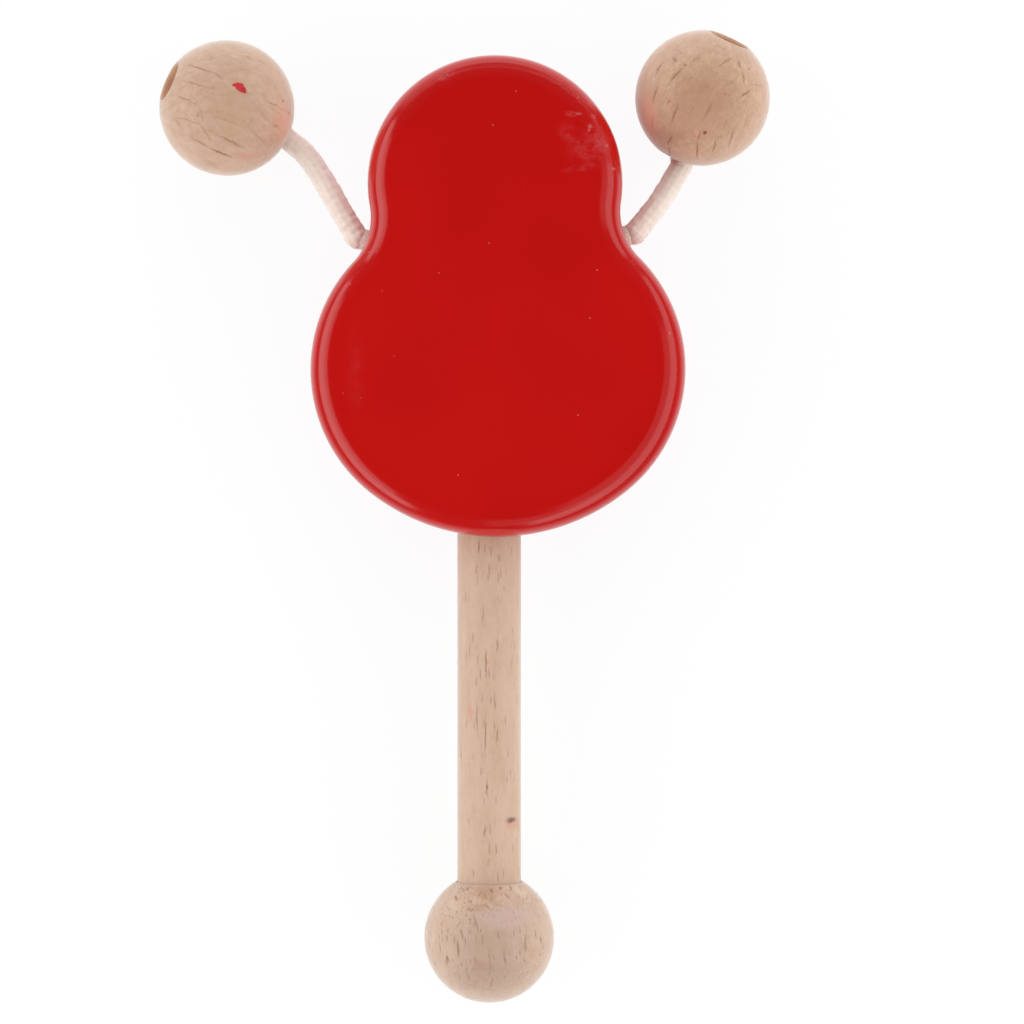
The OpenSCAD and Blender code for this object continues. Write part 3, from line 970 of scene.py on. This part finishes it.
END_BALL_STROKES = [
    ((447, 953), (447, 966), 0.9, 0.8), ((458, 936), (459, 958), 0.8, 0.7),
    ((473, 912), (477, 930), 0.7, 0.5), ((504, 948), (505, 966), 0.8, 0.6),
    ((526, 934), (525, 952), 0.8, 0.5), ((490, 888), (493, 894), 1.2, 0.8),
    ((454, 895), (459, 901), 1.4, 0.7), ((491, 960), (489, 978), 0.8, 0.6),
    ((540, 935), (541, 945), 0.8, 0.5), ((466, 965), (470, 984), 0.8, 0.5),
    ((475, 918), (479, 934), 0.7, 0.5), ((460, 928), (464, 938), 0.8, 0.5),
    ((489, 950), (490, 966), 0.7, 0.5), ((475, 956), (477, 964), 0.7, 0.6),
    ((494, 974), (489, 990), 0.8, 0.6), ((509, 884), (513, 892), 0.9, 0.6),
    ((502, 885), (499, 891), 0.8, 0.6), ((518, 884), (523, 894), 0.9, 0.5),
    ((470, 886), (466, 892), 0.8, 0.4), ((461, 885), (464, 893), 0.8, 0.45),
    ((478, 897), (483, 890), 0.7, 0.45), ((483, 893), (488, 900), 0.7, 0.45),
    ((489, 901), (495, 896), 0.7, 0.4), ((505, 893), (511, 899), 0.7, 0.45),
    ((484, 904), (491, 910), 0.7, 0.4), ((468, 898), (473, 906), 0.7, 0.4),
]


def on_ball(x, y, middle, radius):
    """The place on the upper side of a ball at a pixel of the photograph."""
    place = seen_at(x, y, middle.z)
    for _ in range(SEARCH_STEPS):
        aside = min((place.xy - middle.xy).length, radius * BALL_OUTLINE)
        place = seen_at(x, y, middle.z + math.sqrt(radius ** 2 - aside ** 2))
    return place


def revolve(name, profile, middle, axis):
    """Turns a closed profile of (out, along) points round the axis through the middle."""
    mesh = bpy.data.meshes.new(name)
    mesh.from_pydata([(out, 0, along) for out, along in profile], [],
                     [(i, (i + 1) % len(profile)) for i in range(len(profile))])
    piece = bpy.data.objects.new(name, mesh)
    bpy.context.scene.collection.objects.link(piece)
    pick(piece)
    turned = piece.modifiers.new("turned", "SCREW")
    turned.axis = "Z"
    turned.steps = BALL_TURNS
    turned.render_steps = BALL_TURNS
    turned.use_merge_vertices = True
    turned.merge_threshold = SAME_PLACE
    bpy.ops.object.modifier_apply(modifier=turned.name)
    bpy.ops.object.mode_set(mode="EDIT")
    bpy.ops.mesh.select_all(action="SELECT")
    bpy.ops.mesh.normals_make_consistent(inside=False)
    bpy.ops.object.mode_set(mode="OBJECT")
    piece.location = middle
    piece.rotation_euler = axis.to_track_quat("Z", "Y").to_euler()
    bpy.ops.object.transform_apply(location=True, rotation=True, scale=True)
    for face in piece.data.polygons:
        face.use_smooth = True
    return piece


def round_arc(radius, start, stop, steps):
    """Points (out, along) on a ball's outline between two angles from its axis, in degrees."""
    angles = [math.radians(start + (stop - start) * i / steps) for i in range(steps + 1)]
    return [(radius * math.sin(a), radius * math.cos(a)) for a in angles]


end_mouth = math.sqrt(END_RADIUS ** 2 - DOWEL_RADIUS ** 2)
end_centre = Vector((0, DOWEL_TOP - DOWEL_LENGTH + END_HOLD - end_mouth, half_thick))
end_floor = end_mouth - END_HOLD
socket = DOWEL_RADIUS + GLUE_GAP
mouth_angle = math.degrees(math.asin((socket + MOUTH_EDGE) / END_RADIUS))
end_profile = ([(0, end_floor), (socket - SOCKET_EDGE, end_floor)]
               + [(socket, end_floor + SOCKET_EDGE + SOCKET_STEP * k)
                  for k in range(SOCKET_RINGS)]
               + [(socket, end_mouth - SOCKET_EDGE), (socket + 0.0001, end_mouth - 0.00015)]
               + round_arc(END_RADIUS, mouth_angle, 180, BALL_STEPS))
end_ball = revolve("handle_ball", end_profile, end_centre, Vector((0, 1, 0)))
end_ball.data.materials.append(beech_material(
    "bare_beech_end_ball", end_centre, Vector(END_GRAIN).normalized(), BEECH_END_BALL, END_SEED,
    END_BALL_LOOK, lambda x, y: on_ball(x, y, end_centre, END_RADIUS), END_BALL_STAINS_AND_SHADE,
    END_BALL_STROKES))
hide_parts("handle_end_ball")
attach(end_ball, "drum_and_handle")

# Pellet balls: turned beech with a bore along the grain, wide at its outer end for the knot,
# narrow for the cord, and flared where the cord goes in. The left one has a fleck of red paint.
BORE_RADIUS = 0.0025
SINK_RADIUS = 0.00365
FLARE_DEPTH = 0.002
RIM_ROUND = 0.00035
BORE_STEPS = 8
BEECH_BALL = {"left": (0.555, 0.365, 0.258), "right": (0.565, 0.355, 0.243)}
# Painted shade, laid over the middle of each ball's upper side so that its rim looks lighter.
PAINTED_SHADE_LEFT = (0.42, 0.245, 0.15)
PAINTED_SHADE_RIGHT = (0.36, 0.175, 0.090)
BALL_SEED = {"left": 1.3, "right": 6.1}
BALL_LOOK = {
    "left": {"cell": (4.4, 0.60), "flecks": 0.12, "dark": 0.34, "clouds": 0.38, "mottle": 0.24,
             "rings": 0.22, "end": 9.5, "bore": 3.65},
    "right": {"cell": (3.4, 0.70), "flecks": 0.26, "dark": 0.38, "clouds": 0.40, "mottle": 0.28,
              "rings": 0.16, "end": 9.5, "bore": 3.65},
}
# Painted red reflection of the drum, on the side of each ball that faces it.
DRUM_RED_REFLECTION = (0.80, 0.37, 0.25)
CHIP_RED = (0.54, 0.020, 0.028)
CHIP_DARK = (0.34, 0.015, 0.015)
WARM_BROWN = (0.36, 0.17, 0.10)
DOT_BROWN = (0.17, 0.030, 0.016)
# Stains on the balls, with painted shade over the middle of each and a painted red reflection of the
# drum on the side towards it.
BALL_STAINS_AND_PAINTED_LIGHT = {
    "left": [
        # Painted shade over the middle of the ball's upper side.
        ((226, 112), (64, 62), 0, 0.1, PAINTED_SHADE_LEFT, 0.36),
        ((235, 122), (26, 18), -25, 0.0, BEECH_TAN, 0.35),
        # Painted red reflection of the drum on the side towards it.
        ((286, 128), (14, 32), 0, 0.0, DRUM_RED_REFLECTION, 0.50),
        ((245, 156), (10, 1.6), 4, 0.4, STAIN_PINK, 0.85),
        ((213, 88), (3.4, 2.8), 0, 0.0, WARM_BROWN, 0.6),
        ((198, 115), (3.0, 3.4), 0, 0.0, WARM_BROWN, 0.6),
        ((276, 126), (3.6, 3.0), 0, 0.0, WARM_BROWN, 0.6),
        ((248, 57), (3.4, 2.6), -40, 0.0, WARM_BROWN, 0.5),
        ((283, 101), (2.2, 2.2), 0, 0.0, WARM_BROWN, 0.8),
        ((289, 113), (3.0, 1.8), -30, 0.0, WARM_BROWN, 0.7),
        ((240.8, 88), (7.8, 4.4), -40, 0.75, CHIP_RED, 1.0),
        ((238, 84.8), (6.4, 2.5), 4, 0.75, CHIP_RED, 1.0),
        ((244, 90.5), (5.0, 2.6), -52, 0.2, CHIP_DARK, 0.8),
    ],
    "right": [
        # Painted shade over the middle of the ball's upper side.
        ((702, 104), (66, 62), 0, 0.15, PAINTED_SHADE_RIGHT, 0.62),
        # Painted red reflection of the drum on the side towards it.
        ((648, 118), (13, 40), 8, 0.0, DRUM_RED_REFLECTION, 0.70),
        ((672, 134), (26, 13), -8, 0.0, WARM_BROWN, 0.45),
        ((700, 115), (34, 30), 0, 0.0, BEECH_TAN, 0.30),
        ((697, 133), (2.6, 3.5), 0, 0.3, STAIN_PINK, 0.8),
        ((705, 132.6), (3.2, 2.2), 30, 0.3, DOT_BROWN, 0.9),
        ((697, 134), (3.4, 5.2), 20, 0.0, STAIN_PINK, 0.6),
        ((721, 114), (4.0, 5.0), 0, 0.0, STAIN_PINK, 0.35),
        ((685, 65), (2.6, 2.4), 0, 0.2, WARM_BROWN, 0.9),
        ((725, 94), (2.4, 2.0), 0, 0.3, WARM_BROWN, 0.8),
        ((732, 82), (2.2, 1.8), 0, 0.3, WARM_BROWN, 0.6),
        ((749, 69), (2.0, 1.8), 0, 0.3, WARM_BROWN, 0.7),
    ],
}
BALL_STROKES = {
    "left": [
        ((185, 64), (216, 74), 0.8, 0.55), ((213, 72), (224, 80), 0.8, 0.35),
        ((179, 80), (213, 89), 0.7, 0.38), ((171, 94), (201, 106), 0.7, 0.42),
        ((200, 105), (203, 124), 0.7, 0.30), ((201, 126), (211, 139), 0.8, 0.45),
        ((209, 113), (249, 130), 0.6, 0.30), ((172, 116), (203, 125), 0.6, 0.35),
        ((175, 117), (181, 129), 0.7, 0.35), ((210, 131), (247, 150), 0.8, 0.55),
        ((188, 136), (211, 149), 0.8, 0.50), ((208, 147), (233, 158), 0.9, 0.80),
        ((263, 99), (289, 114), 0.7, 0.38), ((235, 67), (251, 71), 0.6, 0.22),
        ((246, 128), (273, 148), 0.6, 0.25), ((275, 127), (290, 137), 0.7, 0.30),
        ((216, 50), (272, 66), 0.5, 0.14), ((253, 114), (248, 130), 0.6, 0.22),
    ],
    "right": [
        ((663, 61), (655, 76), 0.9, 0.55), ((658, 84), (652, 106), 0.9, 0.60),
        ((685, 65), (668, 84), 0.9, 0.62), ((679, 103), (670, 126), 1.1, 0.85),
        ((714, 100), (701, 122), 1.0, 0.75), ((751, 89), (738, 99), 1.0, 0.65),
        ((737, 58), (742, 72), 0.8, 0.45), ((742, 72), (745, 85), 0.9, 0.50),
        ((734, 57), (715, 68), 0.8, 0.50), ((701, 130), (697, 142), 1.0, 0.75),
        ((697, 140), (697, 161), 0.9, 0.70), ((673, 133), (667, 146), 1.0, 0.75),
        ((668, 144), (672, 158), 0.9, 0.65), ((715, 137), (713, 154), 0.9, 0.55),
        ((714, 138), (724, 135), 0.8, 0.35), ((735, 126), (728, 149), 0.8, 0.55),
        ((653, 112), (652, 135), 0.9, 0.60), ((671, 99), (667, 104), 1.1, 0.55),
        ((692, 62), (700, 56), 0.8, 0.40), ((745, 85), (763, 86), 0.6, 0.30),
        ((673, 58), (677, 62), 1.0, 0.50), ((684, 108), (692, 120), 0.7, 0.35),
        ((694, 104), (688, 116), 0.7, 0.35), ((728, 118), (722, 132), 0.6, 0.35),
    ],
}


def bored_profile():
    """The outline of half a ball's section. Each corner of its bore is slightly broken."""
    mouth = math.degrees(math.asin((SINK_RADIUS + RIM_ROUND) / BALL_RADIUS))
    rim = BALL_RADIUS * math.cos(math.radians(mouth))
    shoulder = BALL_RADIUS - SINK_DEPTH
    start = FLARE_DEPTH - rim
    profile = round_arc(BALL_RADIUS, mouth, 180 - mouth, BALL_STEPS)
    profile += [(SINK_RADIUS + 0.0001, 0.00012 - rim), (SINK_RADIUS - 0.0003, 0.0006 - rim)]
    profile.append((BORE_RADIUS + 0.0003, start - 0.0004))
    for k in range(BORE_STEPS + 1):
        profile.append((BORE_RADIUS, start + (shoulder - start) * k / BORE_STEPS))
    profile += [(BORE_RADIUS + 0.0002, shoulder), (SINK_RADIUS - 0.0002, shoulder)]
    profile.append((SINK_RADIUS, shoulder + 0.0002))
    for k in range(1, BORE_STEPS):
        profile.append((SINK_RADIUS, shoulder + (rim - shoulder) * k / BORE_STEPS))
    profile += [(SINK_RADIUS, rim - 0.0004), (SINK_RADIUS + 0.0001, rim - 0.00012)]
    return profile


for side in ("left", "right"):
    axis = bore_axis(side)
    ball = revolve(side + "_pellet_ball", bored_profile(), ball_centre(side), axis)
    ball.data.materials.append(beech_material(
        side + "_ball_beech", ball_centre(side), axis, BEECH_BALL[side], BALL_SEED[side],
        BALL_LOOK[side], lambda x, y: on_ball(x, y, ball_centre(side), BALL_RADIUS),
        BALL_STAINS_AND_PAINTED_LIGHT[side], BALL_STROKES[side]))
    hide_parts(side + "_ball")
    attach(ball, side + "_pellet")
